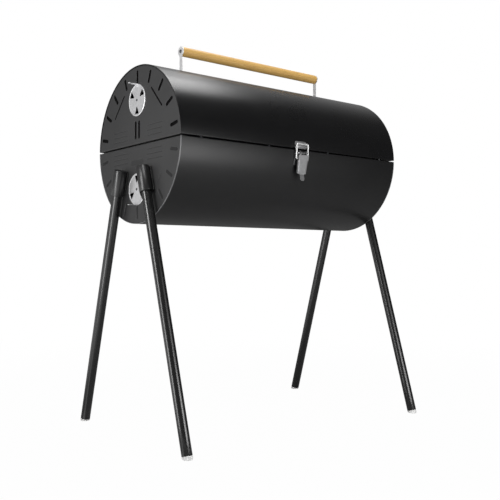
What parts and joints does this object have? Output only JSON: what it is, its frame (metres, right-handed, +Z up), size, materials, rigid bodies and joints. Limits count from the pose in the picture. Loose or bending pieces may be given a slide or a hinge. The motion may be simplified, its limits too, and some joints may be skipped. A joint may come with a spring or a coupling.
{
  "type": "barrel charcoal grill",
  "caption": "Horizontal steel drum split into a base and a hinged lid, with a wooden handle, front latch, round end dampers and splayed tube legs.",
  "frame": {"origin": "on the ground under the middle of the drum", "axes": "+X along the drum, -Y to the front with the latch, +Z up"},
  "size_m": [0.778, 0.505, 0.957],
  "materials": {
    "black_enamel": "satin heat-resistant black paint",
    "leg_enamel": "semi-gloss black powder coat",
    "foot_plastic": "moulded off-white nylon",
    "zinc_steel": "bright zinc plate",
    "dark_rivet": "blackened steel",
    "grate_wire": "chromed wire",
    "handle_wood": "clear varnished light hardwood",
    "latch_steel": "dull nickel plate",
    "latch_wire": "bright chrome wire",
    "damper_steel": "satin stainless sheet"
  },
  "bodies": {
    "base": {"base_shell": "black_enamel", "base_end_left": "black_enamel", "base_end_right": "black_enamel", "socket_front_left": "black_enamel", "socket_front_right": "black_enamel", "socket_rear_left": "black_enamel", "socket_rear_right": "black_enamel", "leg_front_left": "leg_enamel", "leg_front_right": "leg_enamel", "leg_rear_left": "leg_enamel", "leg_rear_right": "leg_enamel", "foot_front_left": "foot_plastic", "foot_front_right": "foot_plastic", "foot_rear_left": "foot_plastic", "foot_rear_right": "foot_plastic", "leg_studs": "zinc_steel", "leg_inserts": "zinc_steel", "rim_studs": "dark_rivet", "grate_rail_front": "black_enamel", "grate_rail_rear": "black_enamel", "hinge_base_left": "black_enamel", "hinge_base_right": "black_enamel", "hinge_pin_left": "zinc_steel", "hinge_pin_right": "zinc_steel", "hinge_rivets_base": "dark_rivet", "latch_base": "latch_steel", "latch_rivets": "latch_steel", "latch_pin": "latch_steel", "damper_rivets_base": "dark_rivet"},
    "lid": {"lid_shell": "black_enamel", "lid_end_left": "black_enamel", "lid_end_right": "black_enamel", "hinge_lid_left": "black_enamel", "hinge_lid_right": "black_enamel", "hinge_rivets_lid": "dark_rivet", "handle_bar": "handle_wood", "handle_bracket_left": "zinc_steel", "handle_bracket_right": "zinc_steel", "handle_screws": "dark_rivet", "bracket_bolts": "zinc_steel", "bracket_washers": "zinc_steel", "bracket_nuts": "zinc_steel", "catch_plate": "latch_steel", "catch_rivets": "latch_steel", "damper_rivets_lid": "dark_rivet"},
    "cooking_grate_left": {"cooking_grate_left": "grate_wire"},
    "cooking_grate_right": {"cooking_grate_right": "grate_wire"},
    "charcoal_grate": {"charcoal_grate": "grate_wire"},
    "latch_lever": {"latch_lever": "latch_steel"},
    "latch_bail": {"latch_bail": "latch_wire"},
    "damper_base_left": {"damper_base_left": "damper_steel"},
    "damper_base_right": {"damper_base_right": "damper_steel"},
    "damper_lid_left": {"damper_lid_left": "damper_steel"},
    "damper_lid_right": {"damper_lid_right": "damper_steel"}
  },
  "joints": [
    {"name": "lid_hinge", "type": "hinge", "parent": "base", "child": "lid", "pos_m": [0, 0.196, 0.698], "axis": [-1, 0, 0], "range_deg": [0, 105]},
    {"name": "latch_lever_swing", "type": "hinge", "parent": "base", "child": "latch_lever", "pos_m": [0, -0.19775, 0.688], "axis": [-1, 0, 0], "range_deg": [0, 110]},
    {"name": "latch_bail_swing", "type": "hinge", "parent": "latch_lever", "child": "latch_bail", "pos_m": [0, -0.1952, 0.67352], "axis": [1, 0, 0], "range_deg": [0, 154]},
    {"name": "damper_base_left_turn", "type": "hinge", "parent": "base", "child": "damper_base_left", "pos_m": [-0.3573, 0, 0.591], "axis": [-1, 0, 0], "continuous": true},
    {"name": "damper_lid_left_turn", "type": "hinge", "parent": "lid", "child": "damper_lid_left", "pos_m": [-0.3573, 0, 0.805], "axis": [-1, 0, 0], "continuous": true},
    {"name": "damper_base_right_turn", "type": "hinge", "parent": "base", "child": "damper_base_right", "pos_m": [0.3573, 0, 0.591], "axis": [1, 0, 0], "continuous": true},
    {"name": "damper_lid_right_turn", "type": "hinge", "parent": "lid", "child": "damper_lid_right", "pos_m": [0.3573, 0, 0.805], "axis": [1, 0, 0], "continuous": true},
    {"name": "cooking_grate_left_lift", "type": "slide", "parent": "base", "child": "cooking_grate_left", "axis": [0, 0, 1], "range_m": [0, 0.06]},
    {"name": "cooking_grate_right_lift", "type": "slide", "parent": "base", "child": "cooking_grate_right", "axis": [0, 0, 1], "range_m": [0, 0.06]},
    {"name": "charcoal_grate_lift", "type": "slide", "parent": "base", "child": "charcoal_grate", "axis": [0, 0, 1], "range_m": [0, 0.06]}
  ],
  "couplings": [
    {"joint": "latch_bail_swing", "follows": "latch_lever_swing", "ratio": 1.4}
  ]
}
